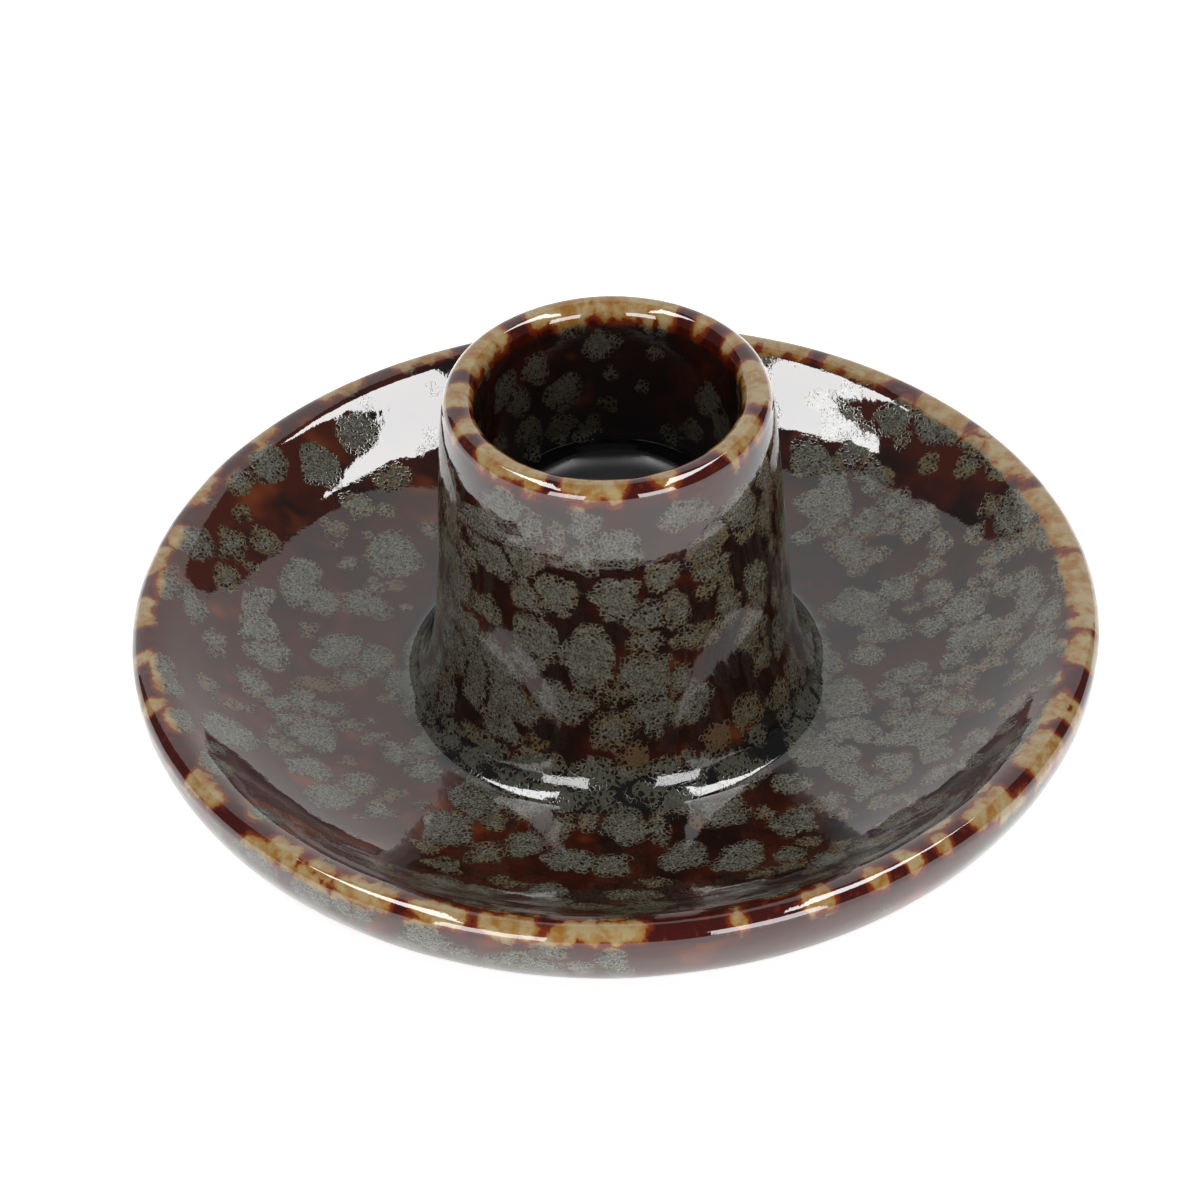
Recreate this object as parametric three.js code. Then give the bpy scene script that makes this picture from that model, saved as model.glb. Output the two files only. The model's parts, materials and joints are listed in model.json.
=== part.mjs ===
// A small glazed stoneware candle holder: a shallow drip saucer that stands on a foot ring and
// carries a tapered socket for one dinner candle.
// Millimetres, +Z up. The table is z = 0 and the axis of the socket is x = y = 0.

import * as THREE from "three";

// Saucer
const SAUCER_RADIUS = 44; // out to the widest point of the rolled rim
const RIM_ROLL_RADIUS = 1.5; // round outer edge of the rim
const RIM_ROLL_HEIGHT = 10.8; // height of the widest point
const FLOOR_RADIUS = 20.5; // where the level floor starts to rise
const FLOOR_HEIGHT = 5.4; // upper face of the floor
const WALL_EASE_LOW = 16.5; // how slowly the wall leaves the floor
const WALL_EASE_HIGH = 3.6; // how slowly it levels out at the crest of the rim
const UNDERSIDE_RADIUS = 33.5; // where the level underside turns up
const UNDERSIDE_HEIGHT = 2; // lower face of the floor, and the height of the foot ring

// Foot ring
const FOOT_OUTER_RADIUS = 31;
const FOOT_INNER_RADIUS = 27;
const FOOT_EDGE_RADIUS = 0.5;

// Socket, outside
const HOLDER_HEIGHT = 38;
const LIP_ROLL_RADIUS = 1.37;
const LIP_ROLL_CENTRE_RADIUS = 13.34;
const SHOULDER_RADIUS = 15.1; // just below the lip
const SHOULDER_HEIGHT = 33.5;
const WAIST_RADIUS = 16.15; // where the flare begins
const WAIST_HEIGHT = 14.5;
const FLARE_PULL_RADIUS = 16.75; // how closely the flare hugs the corner
const FLARE_RADIUS = 19.2; // foot of the flare, on the saucer floor
const FLARE_EDGE_HEIGHT = 0.4; // thickness of the flare where it ends

// Socket, inside
const BORE_MOUTH_RADIUS = LIP_ROLL_CENTRE_RADIUS - LIP_ROLL_RADIUS;
const BORE_BOTTOM_RADIUS = 11.3;
const BORE_FLOOR_HEIGHT = 21.4;
const BORE_FILLET_RADIUS = 3.5;

// Hollow under the socket, which keeps the clay at an even thickness
const HOLLOW_RADIUS = 13;
const HOLLOW_TOP_RADIUS = 12.4;
const HOLLOW_ROOF_HEIGHT = 17.8;
const HOLLOW_FILLET_RADIUS = 4;

// Facets
const SEGMENTS_AROUND = 64;
const FOOT_POINTS_PER_BEND = 2;
const SAUCER_POINTS_PER_BEND = 6;
const SOCKET_POINTS_PER_BEND = 4;

const QUARTER_TURN = Math.PI / 2;

/** Turns a closed outline of radius and height about the Z axis into one solid. */
function turn(outline, pointsPerBend) {
  const solid = new THREE.LatheGeometry(outline.getPoints(pointsPerBend), SEGMENTS_AROUND);
  return solid.rotateX(QUARTER_TURN);
}

/** One named piece of fired clay with its surface colour. */
function piece(name, geometry, finish) {
  const mesh = new THREE.Mesh(geometry, new THREE.MeshStandardMaterial({ metalness: 0, ...finish }));
  mesh.name = name;
  return mesh;
}

const GLAZE = { color: "#4a3327", roughness: 0.12 };
const BARE_CLAY = { color: "#b7a184", roughness: 0.8 };

/** The bare clay ring that the holder stands on, with both lower edges eased. */
function footRing() {
  const outline = new THREE.Path();
  outline.moveTo(FOOT_INNER_RADIUS, UNDERSIDE_HEIGHT);
  outline.lineTo(FOOT_INNER_RADIUS, FOOT_EDGE_RADIUS);
  outline.absarc(
    FOOT_INNER_RADIUS + FOOT_EDGE_RADIUS, FOOT_EDGE_RADIUS, FOOT_EDGE_RADIUS, Math.PI, 3 * QUARTER_TURN,
  );
  outline.lineTo(FOOT_OUTER_RADIUS - FOOT_EDGE_RADIUS, 0);
  outline.absarc(
    FOOT_OUTER_RADIUS - FOOT_EDGE_RADIUS, FOOT_EDGE_RADIUS, FOOT_EDGE_RADIUS, -QUARTER_TURN, 0,
  );
  outline.lineTo(FOOT_OUTER_RADIUS, UNDERSIDE_HEIGHT);
  outline.closePath();
  return piece("foot_ring", turn(outline, FOOT_POINTS_PER_BEND), BARE_CLAY);
}

/** The drip saucer: a level floor, a wall that rises in an S-shaped curve, and a rolled rim. */
function dripSaucer() {
  const crestRadius = SAUCER_RADIUS - RIM_ROLL_RADIUS;
  const crestHeight = RIM_ROLL_HEIGHT + RIM_ROLL_RADIUS;
  const outline = new THREE.Path();
  outline.moveTo(HOLLOW_RADIUS, UNDERSIDE_HEIGHT);
  outline.lineTo(UNDERSIDE_RADIUS, UNDERSIDE_HEIGHT);
  outline.absellipse(
    UNDERSIDE_RADIUS, RIM_ROLL_HEIGHT,
    SAUCER_RADIUS - UNDERSIDE_RADIUS, RIM_ROLL_HEIGHT - UNDERSIDE_HEIGHT,
    -QUARTER_TURN, 0,
  );
  outline.absarc(crestRadius, RIM_ROLL_HEIGHT, RIM_ROLL_RADIUS, 0, QUARTER_TURN);
  outline.bezierCurveTo(
    crestRadius - WALL_EASE_HIGH, crestHeight,
    FLOOR_RADIUS + WALL_EASE_LOW, FLOOR_HEIGHT,
    FLOOR_RADIUS, FLOOR_HEIGHT,
  );
  outline.lineTo(HOLLOW_RADIUS, FLOOR_HEIGHT);
  outline.closePath();
  return piece("drip_saucer", turn(outline, SAUCER_POINTS_PER_BEND), GLAZE);
}

/** The candle socket: flared foot, tapered wall, rolled lip, blind bore, and a hollow underneath. */
function candleSocket() {
  const lipHeight = HOLDER_HEIGHT - LIP_ROLL_RADIUS;
  const outline = new THREE.Path();
  outline.moveTo(HOLLOW_RADIUS, FLOOR_HEIGHT);
  outline.lineTo(FLARE_RADIUS, FLOOR_HEIGHT);
  outline.lineTo(FLARE_RADIUS, FLOOR_HEIGHT + FLARE_EDGE_HEIGHT);
  outline.quadraticCurveTo(
    FLARE_PULL_RADIUS, FLOOR_HEIGHT + FLARE_EDGE_HEIGHT, WAIST_RADIUS, WAIST_HEIGHT,
  );
  outline.lineTo(SHOULDER_RADIUS, SHOULDER_HEIGHT);
  outline.absarc(LIP_ROLL_CENTRE_RADIUS, lipHeight, LIP_ROLL_RADIUS, 0, Math.PI);
  outline.lineTo(BORE_BOTTOM_RADIUS, BORE_FLOOR_HEIGHT + BORE_FILLET_RADIUS);
  outline.absarc(
    BORE_BOTTOM_RADIUS - BORE_FILLET_RADIUS, BORE_FLOOR_HEIGHT + BORE_FILLET_RADIUS,
    BORE_FILLET_RADIUS, 0, -QUARTER_TURN, true,
  );
  outline.lineTo(0, BORE_FLOOR_HEIGHT);
  outline.lineTo(0, HOLLOW_ROOF_HEIGHT);
  outline.lineTo(HOLLOW_TOP_RADIUS - HOLLOW_FILLET_RADIUS, HOLLOW_ROOF_HEIGHT);
  outline.absarc(
    HOLLOW_TOP_RADIUS - HOLLOW_FILLET_RADIUS, HOLLOW_ROOF_HEIGHT - HOLLOW_FILLET_RADIUS,
    HOLLOW_FILLET_RADIUS, QUARTER_TURN, 0, true,
  );
  outline.closePath();
  return piece("candle_socket", turn(outline, SOCKET_POINTS_PER_BEND), GLAZE);
}

const candleHolder = new THREE.Group();
candleHolder.add(footRing(), dripSaucer(), candleSocket());

export default candleHolder;
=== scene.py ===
"""Looks of a small glazed stoneware candle holder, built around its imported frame.

The clay is turned about the Z axis. Its glaze is one unbroken skin, from the hollow under the
socket, round the rim of the saucer, over the lip of the socket and down to the floor of the bore.
Drops of a second glaze are thrown over that skin, and each drop is carried in the mesh as relief
and as attributes that the glaze material reads.
"""

import json
import logging
import math
from dataclasses import dataclass, field
from enum import Enum
from functools import reduce
from typing import Callable, Optional, Sequence, Union

import bpy
import numpy as np
from mathutils import Matrix, Vector


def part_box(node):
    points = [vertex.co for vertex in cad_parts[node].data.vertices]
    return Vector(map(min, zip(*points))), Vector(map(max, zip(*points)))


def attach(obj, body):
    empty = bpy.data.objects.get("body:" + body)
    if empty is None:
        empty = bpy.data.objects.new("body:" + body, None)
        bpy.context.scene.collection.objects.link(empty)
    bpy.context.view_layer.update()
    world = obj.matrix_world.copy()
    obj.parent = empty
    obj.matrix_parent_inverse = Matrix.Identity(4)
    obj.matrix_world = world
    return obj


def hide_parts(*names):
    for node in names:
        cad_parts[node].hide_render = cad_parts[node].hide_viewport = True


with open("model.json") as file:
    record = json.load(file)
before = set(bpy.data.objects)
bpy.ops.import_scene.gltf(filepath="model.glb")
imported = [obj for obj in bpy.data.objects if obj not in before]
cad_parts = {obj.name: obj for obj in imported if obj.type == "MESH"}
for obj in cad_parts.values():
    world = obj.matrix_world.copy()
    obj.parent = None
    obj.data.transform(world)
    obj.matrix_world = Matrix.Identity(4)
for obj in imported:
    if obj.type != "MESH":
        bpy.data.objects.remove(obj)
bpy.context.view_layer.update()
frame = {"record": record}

MM = 0.001
BODY = "root"
LOG = logging.getLogger("candle_holder")

Colour = tuple[float, float, float, float]
Feed = Union[float, bpy.types.NodeSocket]
Curve = Callable[[np.ndarray], np.ndarray]


def paint(red: int, green: int, blue: int) -> Colour:
    """Turns a colour, given 0 to 255 a channel, into the linear light a shader wants.

    Args:
        red: Red, 0 to 255.
        green: Green, 0 to 255.
        blue: Blue, 0 to 255.

    Returns:
        Linear red, green and blue, and an alpha of 1.
    """
    def linear(channel: int) -> float:
        """One channel in linear light."""
        share = channel / 255
        return share / 12.92 if share <= 0.04045 else ((share + 0.055) / 1.055) ** 2.4

    return (linear(red), linear(green), linear(blue), 1.0)


def smooth_step(value: np.ndarray, low: float, high: float) -> np.ndarray:
    """Rises from 0 at low to 1 at high with soft ends.

    Args:
        value: Any array.
        low: Where the rise starts.
        high: Where it ends.

    Returns:
        An array of the same shape, 0 to 1.
    """
    share = np.clip((value - low) / (high - low), 0.0, 1.0)
    return share * share * (3.0 - 2.0 * share)


# ---------------------------------------------------------------------------------- outline


class Face(Enum):
    """The parts of the glaze skin, in the order they come along its outline."""

    UNDERSIDE = "radius"
    SIDE = "height"
    RIM = "radius of the rim"
    DISH = "radius of the dish"
    WALL = "height of the wall"
    LIP = "radius of the lip"
    BORE = "height of the bore"
    WELL = "radius of the well"

    def measured_by_radius(self) -> bool:
        """True where a place on this face is given by its radius, false where by its height."""
        return self.value.startswith("radius")


@dataclass
class Outline:
    """Radius and height points in millimetres, laid end to end at a spacing chosen per stretch."""

    start: tuple[float, float]
    points: list[np.ndarray] = field(default_factory=list)
    faces: list[Face] = field(default_factory=list)

    def __post_init__(self) -> None:
        """Lays the first point."""
        self.points.append(np.array([self.start]))

    def end(self) -> np.ndarray:
        """The last point so far."""
        return self.points[-1][-1]

    def lay(self, curve: Curve, step: float, face: Face) -> "Outline":
        """Adds a curve as evenly spaced points.

        Args:
            curve: Gives points for shares 0 to 1 of the way along.
            step: Greatest spacing, in millimetres.
            face: The face this stretch belongs to.

        Returns:
            The same outline, so that stretches can be chained.
        """
        fine = curve(np.linspace(0.0, 1.0, 400))
        length = np.concatenate([[0.0], np.cumsum(np.hypot(*np.diff(fine, axis=0).T))])
        count = max(1, math.ceil(length[-1] / step))
        even = np.linspace(0.0, length[-1], count + 1)[1:]
        run = np.stack([np.interp(even, length, fine[:, axis]) for axis in (0, 1)], -1)
        if not self.faces:
            self.faces.append(face)
        self.points.append(run)
        self.faces.extend([face] * count)
        return self

    def line(self, to: tuple[float, float], step: float, face: Face) -> "Outline":
        """Adds a straight stretch.

        Args:
            to: Radius and height of its end.
            step: Greatest spacing.
            face: The face it belongs to.

        Returns:
            The same outline.
        """
        first, last = self.end(), np.array(to)
        return self.lay(lambda t: first + (last - first) * t[:, None], step, face)

    def bend(self, pulls: Sequence[tuple[float, float]], step: float, face: Face) -> "Outline":
        """Adds a Bezier curve from the last point.

        Args:
            pulls: Its other control points, one or two pulls and then its end.
            step: Greatest spacing.
            face: The face it belongs to.

        Returns:
            The same outline.
        """
        knots = [self.end(), *[np.array(p) for p in pulls]]
        order = len(knots) - 1

        def curve(t: np.ndarray) -> np.ndarray:
            """Points of the Bezier curve at shares t."""
            weights = (math.comb(order, i) * (1 - t)**(order - i) * t**i for i in range(order + 1))
            return sum(w[:, None] * k for w, k in zip(weights, knots))

        return self.lay(curve, step, face)

    def arc(self, centre: tuple[float, float], radii: tuple[float, float],
            turn: tuple[float, float], step: float, face: Face) -> "Outline":
        """Adds a stretch of an ellipse.

        Args:
            centre: Radius and height of its centre.
            radii: Its half widths in radius and in height.
            turn: Angles of its start and its end, in degrees from straight out.
            step: Greatest spacing.
            face: The face it belongs to.

        Returns:
            The same outline.
        """
        def curve(t: np.ndarray) -> np.ndarray:
            """Points of the ellipse at shares t."""
            angle = np.radians(turn[0] + (turn[1] - turn[0]) * t)
            return np.stack([centre[0] + radii[0] * np.cos(angle),
                             centre[1] + radii[1] * np.sin(angle)], -1)

        return self.lay(curve, step, face)


# ---------------------------------------------------------------------------------- the skin


@dataclass
class Drop:
    """One drop of the second glaze where it landed."""

    along: float
    azimuth: float
    length: float
    width: float
    tone: float
    coat: int
    wobble: np.ndarray

    PLACED_WOBBLE = (0.08, 0.06, 0.045, 0.03)
    THROWN_WOBBLE = (0.07, 0.055, 0.04, 0.03)

    @staticmethod
    def draw_wobble(strengths: tuple[float, ...], chance: np.random.Generator) -> np.ndarray:
        """Draws the waves that bend a drop's outline out of round, for 2 waves and up."""
        return chance.normal(size=(len(strengths), 2)) * np.array(strengths)[:, None]

    def share_out(self, down: np.ndarray, across: np.ndarray) -> np.ndarray:
        """How far out each place is, 0 in the drop's middle and 1 on its bent outline.

        Args:
            down: Millimetres from its middle along the outline of the clay.
            across: Millimetres from its middle round the axis.

        Returns:
            The shares.
        """
        bearing = np.arctan2(across / self.width, down / self.length)
        bend = np.ones_like(bearing)
        for order, (cosine, sine) in enumerate(self.wobble, start=2):
            bend += cosine * np.cos(order * bearing) + sine * np.sin(order * bearing)
        return np.hypot(2 * down / self.length, 2 * across / self.width) / bend


@dataclass(frozen=True)
class Splash:
    """A drop placed one by one: its face, its middle, its size and its tone.

    The azimuth is in degrees, 0 at the front and 90 at the right. The place is a radius or a
    height, as the face is measured. Wide is round the axis and tall is along the outline. The
    tone is 0 for a thin brown drop and 1 for a thick grey-green one.
    """

    face: Face
    azimuth: float
    place: float
    wide: float
    tall: float
    tone: float = 0.8

    @classmethod
    def in_dish(cls, right: float, back: float, across: float, deep: float,
                tone: float = 0.8) -> "Splash":
        """Places a drop in the dish as it is seen from above.

        Args:
            right: How far right of the axis its middle is, in millimetres.
            back: How far behind the axis it is.
            across: Its size from left to right.
            deep: Its size from front to back.
            tone: Its tone.

        Returns:
            The splash.
        """
        turn = math.atan2(right, -back)
        sine, cosine = abs(math.sin(turn)), abs(math.cos(turn))
        return cls(Face.DISH, math.degrees(turn), math.hypot(right, back),
                   math.hypot(across * cosine, deep * sine),
                   math.hypot(across * sine, deep * cosine), tone)


@dataclass(frozen=True)
class Patch:
    """An area of one face over which drops are thrown at random."""

    face: Face
    azimuths: tuple[float, float]
    places: tuple[float, float]
    drops: int
    sizes: tuple[float, float]
    stretch: float = 1.0
    tones: tuple[float, float] = (0.25, 1.0)
    crowding: float = 0.62


@dataclass
class Skin:
    """The glazed surface as a grid: rows run along the outline and columns round the axis."""

    outline: Outline
    around: int
    rows: np.ndarray = field(init=False)
    faces: list[Face] = field(init=False)
    along: np.ndarray = field(init=False)
    azimuth: np.ndarray = field(init=False)
    edges: np.ndarray = field(init=False)
    tones: np.ndarray = field(init=False)
    landed: list[Drop] = field(default_factory=list)

    # Drops that overlap keep their outlines apart if they are of different coats.
    COATS = 3
    # How often a thrown drop looks for a free place.
    TRIES = 24
    # Millimetres, except for the shares RUN_OVERLAP and MOST_BEND.
    FAR_FROM_A_DROP = -2.5
    LARGEST_DROP = 8.0
    MELT = 0.25
    MARGIN = 1.6
    MOST_BEND = 1.35
    RUN_STEP = 1.7
    RUN_OVERLAP = 1.35
    RUN_DROPS = (1.5, 3.2)
    SMALLEST_RUN = 0.9

    def __post_init__(self) -> None:
        """Lays out the grid, with no drops on it yet."""
        self.rows = np.concatenate(self.outline.points)
        self.faces = self.outline.faces
        steps = np.hypot(*np.diff(self.rows, axis=0).T)
        self.along = np.concatenate([[0.0], np.cumsum(steps)])
        self.azimuth = np.linspace(0.0, 2 * math.pi, self.around, endpoint=False)
        shape = (self.COATS, len(self.rows), self.around)
        self.edges = np.full(shape, self.FAR_FROM_A_DROP)
        self.tones = np.full(shape, 0.5)

    def flat(self) -> np.ndarray:
        """A grid of zeros, one for each point of the skin."""
        return np.zeros((len(self.rows), self.around))

    def of_face(self, face: Face) -> np.ndarray:
        """True for each row that belongs to a face, as a column."""
        return np.array([f is face for f in self.faces])[:, None]

    def row_at(self, face: Face, place: float) -> float:
        """Finds how far along the outline a place on a face is.

        Args:
            face: The face.
            place: Its radius or its height there, in millimetres.

        Returns:
            The distance along the outline, in millimetres.
        """
        rows = np.flatnonzero(self.of_face(face))
        measure = self.rows[rows, 0 if face.measured_by_radius() else 1]
        order = np.argsort(measure)
        return float(np.interp(place, measure[order], self.along[rows][order]))

    def is_clear(self, along: float, azimuth: float, size: float, crowding: float) -> bool:
        """Says whether a new drop would keep its distance from those that have landed.

        Args:
            along: Its place along the outline.
            azimuth: Its azimuth in radians.
            size: Its width.
            crowding: Least distance between centres, as a share of the drops' mean width.

        Returns:
            True if it may land there.
        """
        radius = float(np.interp(along, self.along, self.rows[:, 0]))
        for other in self.landed:
            down = along - other.along
            if abs(down) > self.LARGEST_DROP:
                continue
            turn = (azimuth - other.azimuth + math.pi) % (2 * math.pi) - math.pi
            mean_size = (size + (other.length + other.width) / 2) / 2
            if math.hypot(down, radius * turn) < crowding * mean_size:
                return False
        return True

    def drip(self, splash: Splash, chance: np.random.Generator,
             coat: Optional[int] = None) -> None:
        """Lands one listed drop.

        Args:
            splash: Where it lands and how large it is.
            chance: Where its irregular shape comes from.
            coat: The coat it belongs to, any one if left out.
        """
        wobble = Drop.draw_wobble(Drop.PLACED_WOBBLE, chance)
        drawn = int(chance.integers(self.COATS))
        self.landed.append(Drop(
            self.row_at(splash.face, splash.place), math.radians(splash.azimuth) % (2 * math.pi),
            splash.tall, splash.wide, splash.tone, drawn if coat is None else coat, wobble))

    def smear(self, face: Face, place: float, ends: tuple[float, float], width: float,
              chance: np.random.Generator) -> None:
        """Runs thin glaze along a lip as a row of drops that have melted together.

        Args:
            face: The face the lip is on.
            place: Radius of the middle of the run.
            ends: Azimuths of its two ends, in degrees.
            width: How broad it is across the lip, in millimetres.
            chance: Where its irregular shape comes from.
        """
        start, stop = ends
        length = math.radians(stop - start) * place
        count = max(1, round(length / self.RUN_STEP))
        overlapping = float(np.clip(length / count * self.RUN_OVERLAP, *self.RUN_DROPS))
        size = overlapping if count > 1 else max(self.SMALLEST_RUN, length)
        for share in (np.arange(count) + 0.5) / count:
            azimuth = start + (stop - start) * float(share)
            tall = width * float(chance.uniform(0.85, 1.15))
            self.drip(Splash(face, azimuth, place, size, tall, 0.9), chance, coat=0)

    def throw(self, patch: Patch, chance: np.random.Generator) -> None:
        """Throws drops over a patch.

        Args:
            patch: Where, how many and how large.
            chance: Where the random places and shapes come from.
        """
        ends = sorted(self.row_at(patch.face, place) for place in patch.places)
        small, large = patch.sizes
        for _ in range(patch.drops):
            size = small + (large - small) * float(chance.random()) ** 1.4
            for _ in range(self.TRIES):
                along = float(chance.uniform(*ends))
                azimuth = math.radians(float(chance.uniform(*patch.azimuths))) % (2 * math.pi)
                if self.is_clear(along, azimuth, size, patch.crowding):
                    squeeze = math.sqrt(patch.stretch) * float(chance.uniform(0.86, 1.16))
                    wobble = Drop.draw_wobble(Drop.THROWN_WOBBLE, chance)
                    self.landed.append(Drop(
                        along, azimuth, size * squeeze, size / squeeze,
                        float(chance.uniform(*patch.tones)), int(chance.integers(self.COATS)),
                        wobble))
                    break

    def settle(self) -> None:
        """Works out, from every drop that landed, how deep inside a drop each grid point lies."""
        for drop in self.landed:
            reach = max(drop.length, drop.width) / 2 * self.MOST_BEND + self.MARGIN
            rows = np.nonzero(np.abs(self.along - drop.along) < reach)[0]
            radius = max(float(self.rows[rows, 0].max()), 1.0)
            turn = (self.azimuth - drop.azimuth + math.pi) % (2 * math.pi) - math.pi
            columns = np.nonzero(np.abs(turn) * radius < reach + 0.5)[0]
            down = (self.along[rows] - drop.along)[:, None]
            across = self.rows[rows, 0][:, None] * turn[columns][None, :]
            depth = (1.0 - drop.share_out(down, across)) * min(drop.length, drop.width) / 2
            block = np.ix_([drop.coat], rows, columns)
            known = self.edges[block][0]
            merged = (known + depth + np.sqrt((known - depth) ** 2 + self.MELT**2)) / 2
            lead = smooth_step(depth - known, -0.3, 0.3)
            self.tones[block] += lead * (drop.tone - self.tones[block])
            self.edges[block] = np.maximum(known, merged)[None]

    def ripple(self, wave: float, seed: int, waves: int = 28) -> np.ndarray:
        """A gentle unevenness in all directions, the same wherever two faces meet.

        Args:
            wave: Its wavelength in millimetres.
            seed: Picks the pattern.
            waves: How many plane waves are added up.

        Returns:
            Heights over the grid, about -1 to 1.
        """
        chance = np.random.default_rng(seed)
        x, y, z = self.places(self.flat())
        total = np.zeros_like(x)
        for _ in range(waves):
            direction = chance.normal(size=3)
            direction *= 2 * math.pi / (wave * np.linalg.norm(direction))
            total += np.sin(direction[0] * x + direction[1] * y + direction[2] * z
                            + chance.uniform(0, 2 * math.pi))
        return total / math.sqrt(waves)

    def turning_rings(self, wave: float, seed: int) -> np.ndarray:
        """The faint rings that turning leaves, which drift a little on their way round.

        Args:
            wave: Their spacing in millimetres.
            seed: Picks the pattern.

        Returns:
            Heights over the grid, about -1 to 1.
        """
        chance = np.random.default_rng(seed)
        total = self.flat()
        for order in range(1, 5):
            drift = sum(chance.normal() * np.sin(k * self.azimuth + chance.uniform(0, 6.28)) / k
                        for k in range(1, 5))
            phase = self.along[:, None] * 2 * math.pi / (wave * (0.55 + 0.3 * order))
            total += np.sin(phase + 1.3 * drift[None, :] + chance.uniform(0, 6.28))
        return total / 2

    def slopes(self) -> np.ndarray:
        """Which way the clay faces along the outline.

        Returns:
            A unit vector for each row, as its parts in radius and in height.
        """
        run = np.gradient(self.rows, self.along, axis=0)
        run /= np.linalg.norm(run, axis=1)[:, None]
        return np.stack([run[:, 1], -run[:, 0]], -1)

    def places(self, relief: np.ndarray) -> np.ndarray:
        """Places of the grid points.

        Args:
            relief: How far each stands off the clay, in millimetres.

        Returns:
            Three grids: x, y and z in millimetres.
        """
        out = self.slopes()
        radius = self.rows[:, 0][:, None] + out[:, 0][:, None] * relief
        radius = np.maximum(radius, 0.0)
        height = self.rows[:, 1][:, None] + out[:, 1][:, None] * relief
        return np.stack([radius * np.sin(self.azimuth), -radius * np.cos(self.azimuth), height])

    @staticmethod
    def normals(places: np.ndarray) -> np.ndarray:
        """Which way a grid of points faces.

        Args:
            places: Grids of x, y and z, closed round the columns.

        Returns:
            A unit vector for each point, with the three parts last.
        """
        grid = np.moveaxis(places, 0, -1)
        down = np.gradient(grid, axis=0)
        across = np.roll(grid, -1, axis=1) - np.roll(grid, 1, axis=1)
        facing = np.cross(across, down)
        length = np.linalg.norm(facing, axis=-1, keepdims=True)
        return np.where(length > 1e-9, facing / np.maximum(length, 1e-9), [0.0, 0.0, 1.0])


# ---------------------------------------------------------------------------------- meshes


@dataclass
class Sheet:
    """A turned surface that is one stretch of a closed piece."""

    places: np.ndarray
    normals: np.ndarray
    drops: np.ndarray
    tones: np.ndarray
    build: np.ndarray

    FAR_FROM_A_LIP = 20.0
    PLAIN_WARMTH = 0.3

    @classmethod
    def bare(cls, skin: Skin, relief: Union[float, np.ndarray] = 0.0) -> "Sheet":
        """Makes a sheet with no drops on it.

        Args:
            skin: Its grid.
            relief: How far it stands off its outline, in millimetres.

        Returns:
            The sheet.
        """
        places = skin.places(skin.flat() + relief)
        shape = (len(skin.rows), skin.around, 3)
        build = np.broadcast_to((cls.FAR_FROM_A_LIP, 0.0, cls.PLAIN_WARMTH), shape)
        return cls(places, Skin.normals(places), np.full(shape, Skin.FAR_FROM_A_DROP),
                   np.full(shape, 0.5), build)


@dataclass
class TurnedPiece:
    """A closed turned body put together from sheets whose end rows meet."""

    name: str
    sheets: list[Sheet]

    POLE = 1e-4

    def raise_mesh(self) -> bpy.types.Object:
        """Joins the sheets into one mesh object with smooth faces and true normals.

        Returns:
            The new object, in the scene and in metres.
        """
        around = self.sheets[0].places.shape[2]
        points: list[np.ndarray] = []
        layers: dict[str, list[np.ndarray]] = {"drops": [], "tones": [], "build": []}
        rings: dict[tuple[float, float], np.ndarray] = {}
        corners: list[np.ndarray] = []
        facing: list[np.ndarray] = []
        sides: list[np.ndarray] = []
        total = 0
        column = np.arange(around)
        following = (column + 1) % around
        for sheet in self.sheets:
            grid = np.moveaxis(sheet.places, 0, -1)
            lean = sheet.normals
            numbers: list[np.ndarray] = []
            for row, ring in enumerate(grid):
                radius = math.hypot(ring[0][0], ring[0][1])
                key = (round(radius, 4), round(float(ring[0][2]), 4))
                at_end = row in (0, len(grid) - 1)
                if at_end and key in rings:
                    numbers.append(rings[key])
                    continue
                size = 1 if radius < self.POLE else around
                numbers.append(np.arange(total, total + size) if size > 1
                               else np.full(around, total))
                if at_end:
                    rings[key] = numbers[-1]
                points.append(ring[:size])
                layers["drops"].append(sheet.drops[row][:size])
                layers["tones"].append(sheet.tones[row][:size])
                layers["build"].append(sheet.build[row][:size])
                total += size
            for row, (here, there) in enumerate(zip(numbers, numbers[1:])):
                face = [here[column], here[following], there[following], there[column]]
                leans = [lean[row][column], lean[row][following],
                         lean[row + 1][following], lean[row + 1][column]]
                if there[0] == there[-1]:
                    del face[3], leans[3]
                elif here[0] == here[-1]:
                    del face[1], leans[1]
                corners.append(np.stack(face, -1).ravel())
                facing.append(np.stack(leans, 1).reshape(-1, 3))
                sides.append(np.full(around, len(face)))
        vertices = np.concatenate(points) * MM
        loops = np.concatenate(corners)
        counts = np.concatenate(sides)
        mesh = bpy.data.meshes.new(self.name)
        mesh.vertices.add(len(vertices))
        mesh.vertices.foreach_set("co", vertices.ravel())
        mesh.loops.add(len(loops))
        mesh.loops.foreach_set("vertex_index", loops)
        mesh.polygons.add(len(counts))
        mesh.polygons.foreach_set("loop_start", np.cumsum(counts) - counts)
        mesh.update(calc_edges=True)
        mesh.polygons.foreach_set("use_smooth", np.ones(len(counts), bool))
        for name, values in layers.items():
            attribute = mesh.attributes.new(name, "FLOAT_COLOR", "POINT")
            flat = np.concatenate(values)
            full = np.ones((len(flat), 4))
            full[:, :3] = flat
            attribute.data.foreach_set("color", full.ravel())
        mesh.normals_split_custom_set(np.concatenate(facing))
        piece = bpy.data.objects.new(self.name, mesh)
        bpy.context.scene.collection.objects.link(piece)
        return piece


# ---------------------------------------------------------------------------------- materials


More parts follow.
